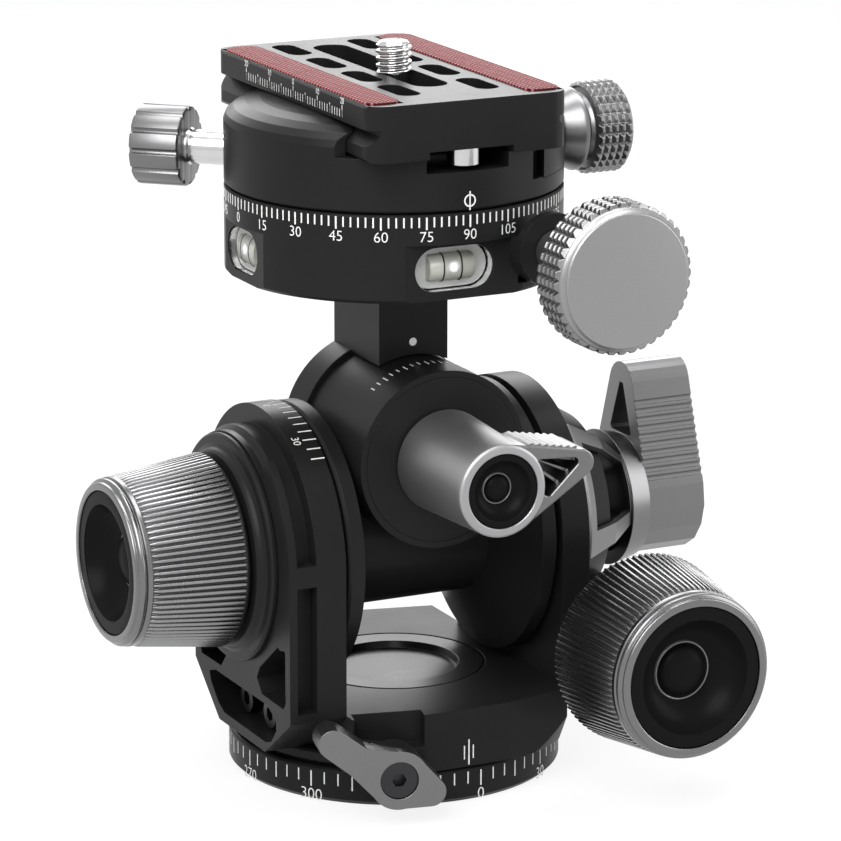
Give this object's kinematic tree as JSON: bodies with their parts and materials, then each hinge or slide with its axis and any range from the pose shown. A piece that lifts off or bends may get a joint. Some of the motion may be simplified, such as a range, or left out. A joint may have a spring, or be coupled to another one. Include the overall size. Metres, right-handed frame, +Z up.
{
  "type": "geared tripod head",
  "caption": "Geared tripod head: worm-driven pitch, roll and pan with knurled knobs and clutch levers, on a turning base, with a dovetail plate clamp on top.",
  "frame": {"origin": "centre of the tripod thread at the base's underside", "axes": "+Z up, -Y towards the user, +X to the user's right; the camera plate slides along Y"},
  "size_m": [0.1141, 0.0957, 0.1312],
  "materials": {
    "black_anodised": "satin black anodised",
    "black_cap": "gloss black anodised",
    "silver_anodised": "satin grey anodised",
    "black_steel": "black oxide",
    "steel": "ground steel",
    "bright_steel": "bright plated",
    "bronze": "machined bronze",
    "washer_polymer": "plain",
    "pad_rubber": "ribbed rubber",
    "level_vial": "clear acrylic"
  },
  "bodies": {
    "base": {"base_ring": "black_anodised", "thrust_washer": "washer_polymer", "spindle_cap": "black_anodised"},
    "yoke": {"deck": "black_anodised", "left_arm": "black_anodised", "right_arm": "black_anodised", "arm_screws": "black_steel", "left_bearing_cap": "black_anodised", "pitch_worm_bush": "black_anodised", "wheel_cover": "black_anodised", "pitch_clutch_hub": "black_anodised", "lock_shoe": "bronze"},
    "base_lock": {"base_lock_lever": "silver_anodised", "base_lock_screw": "black_steel"},
    "pitch_drive": {"pitch_knob": "silver_anodised", "pitch_knob_cap": "black_cap", "pitch_worm": "steel"},
    "pitch_clutch": {"pitch_lever": "silver_anodised"},
    "cross_barrel": {"barrel": "black_anodised", "side_washers": "washer_polymer", "front_disc": "black_anodised", "roll_bearing_plate": "bronze", "roll_clutch_plate": "steel", "roll_worm_bush": "black_anodised", "pitch_worm_wheel": "bronze", "pitch_wheel_nut": "steel"},
    "roll_drive": {"roll_knob": "silver_anodised", "roll_knob_cap": "black_cap", "roll_worm": "steel"},
    "roll_clutch": {"roll_lever": "silver_anodised", "roll_lever_cap": "black_cap"},
    "rotor": {"rotor_stem": "black_anodised", "rotor_cover": "black_anodised", "roll_worm_wheel": "bronze", "stem_screws": "black_steel", "pan_housing": "black_anodised", "front_level": "level_vial", "side_level": "level_vial", "pan_worm_bush": "black_anodised"},
    "pan_drive": {"pan_knob": "silver_anodised", "pan_worm": "steel"},
    "clamp": {"clamp_body": "black_anodised", "pan_spindle": "steel", "pan_worm_wheel": "bronze", "pan_nut": "steel", "lock_pad": "bronze"},
    "pan_lock": {"pan_lock_knob": "silver_anodised"},
    "jaw": {"clamp_jaw": "black_anodised", "jaw_pins": "steel"},
    "clamp_drive": {"clamp_knob": "silver_anodised", "clamp_screw": "steel"},
    "plate": {"quick_release_plate": "black_anodised", "plate_pads": "pad_rubber", "stop_screws": "bright_steel"},
    "screw_slider": {"screw_washer": "steel"},
    "camera_fixing": {"camera_screw": "bright_steel"}
  },
  "joints": [
    {"name": "base_pan", "type": "hinge", "parent": "base", "child": "yoke", "pos_m": [0, 0, 0.007], "axis": [0, 0, 1], "continuous": true},
    {"name": "base_lock_turn", "type": "hinge", "parent": "yoke", "child": "base_lock", "pos_m": [-0.01475, -0.02885, 0.0085], "axis": [-0.2337, -0.9723, 0], "range_deg": [0, 50]},
    {"name": "pitch_tilt", "type": "hinge", "parent": "yoke", "child": "cross_barrel", "pos_m": [0, 0, 0.043], "axis": [1, 0, 0], "range_deg": [-25, 25]},
    {"name": "pitch_knob_turn", "type": "hinge", "parent": "yoke", "child": "pitch_drive", "pos_m": [0.031, -0.0354, 0.026], "axis": [0, -1, 0], "range_deg": [-905, 905]},
    {"name": "pitch_clutch_turn", "type": "hinge", "parent": "yoke", "child": "pitch_clutch", "pos_m": [0.0463, 0, 0.043], "axis": [1, 0, 0], "range_deg": [-40, 0]},
    {"name": "roll_tilt", "type": "hinge", "parent": "cross_barrel", "child": "rotor", "pos_m": [0, 0, 0.06], "axis": [0, 1, 0], "range_deg": [-30, 30]},
    {"name": "roll_knob_turn", "type": "hinge", "parent": "cross_barrel", "child": "roll_drive", "pos_m": [-0.0354, 0, 0.043], "axis": [-1, 0, 0], "range_deg": [-1085, 1085]},
    {"name": "roll_clutch_turn", "type": "hinge", "parent": "cross_barrel", "child": "roll_clutch", "pos_m": [0, -0.0203, 0.06], "axis": [0, 1, 0], "range_deg": [-40, 0]},
    {"name": "pan_turn", "type": "hinge", "parent": "rotor", "child": "clamp", "pos_m": [0, 0, 0.1065], "axis": [0, 0, 1], "continuous": true},
    {"name": "pan_knob_turn", "type": "hinge", "parent": "rotor", "child": "pan_drive", "pos_m": [0.01484, -0.0494, 0.0986], "axis": [0, -1, 0], "continuous": true},
    {"name": "pan_lock_turn", "type": "hinge", "parent": "clamp", "child": "pan_lock", "pos_m": [-0.02802, 0.02567, 0.1102], "axis": [-0.7373, 0.6756, 0], "range_deg": [0, 180]},
    {"name": "jaw_slide", "type": "slide", "parent": "clamp", "child": "jaw", "axis": [1, 0, 0], "range_m": [0, 0.0024]},
    {"name": "clamp_knob_turn", "type": "hinge", "parent": "jaw", "child": "clamp_drive", "pos_m": [0.031, 0, 0.1125], "axis": [1, 0, 0], "range_deg": [0, 870]},
    {"name": "plate_slide", "type": "slide", "parent": "clamp", "child": "plate", "axis": [0, 1, 0], "range_m": [-0.01, 0.01]},
    {"name": "screw_slide", "type": "slide", "parent": "plate", "child": "screw_slider", "axis": [0, 1, 0], "range_m": [-0.012, 0.0229]},
    {"name": "camera_screw_turn", "type": "hinge", "parent": "screw_slider", "child": "camera_fixing", "pos_m": [0, 0, 0.118], "axis": [0, 0, 1], "continuous": true}
  ],
  "couplings": [
    {"joint": "pitch_knob_turn", "follows": "pitch_tilt", "ratio": 36},
    {"joint": "roll_knob_turn", "follows": "roll_tilt", "ratio": -36},
    {"joint": "pan_knob_turn", "follows": "pan_turn", "ratio": 30},
    {"joint": "clamp_knob_turn", "follows": "jaw_slide", "rad_per_m": 6283.2}
  ]
}
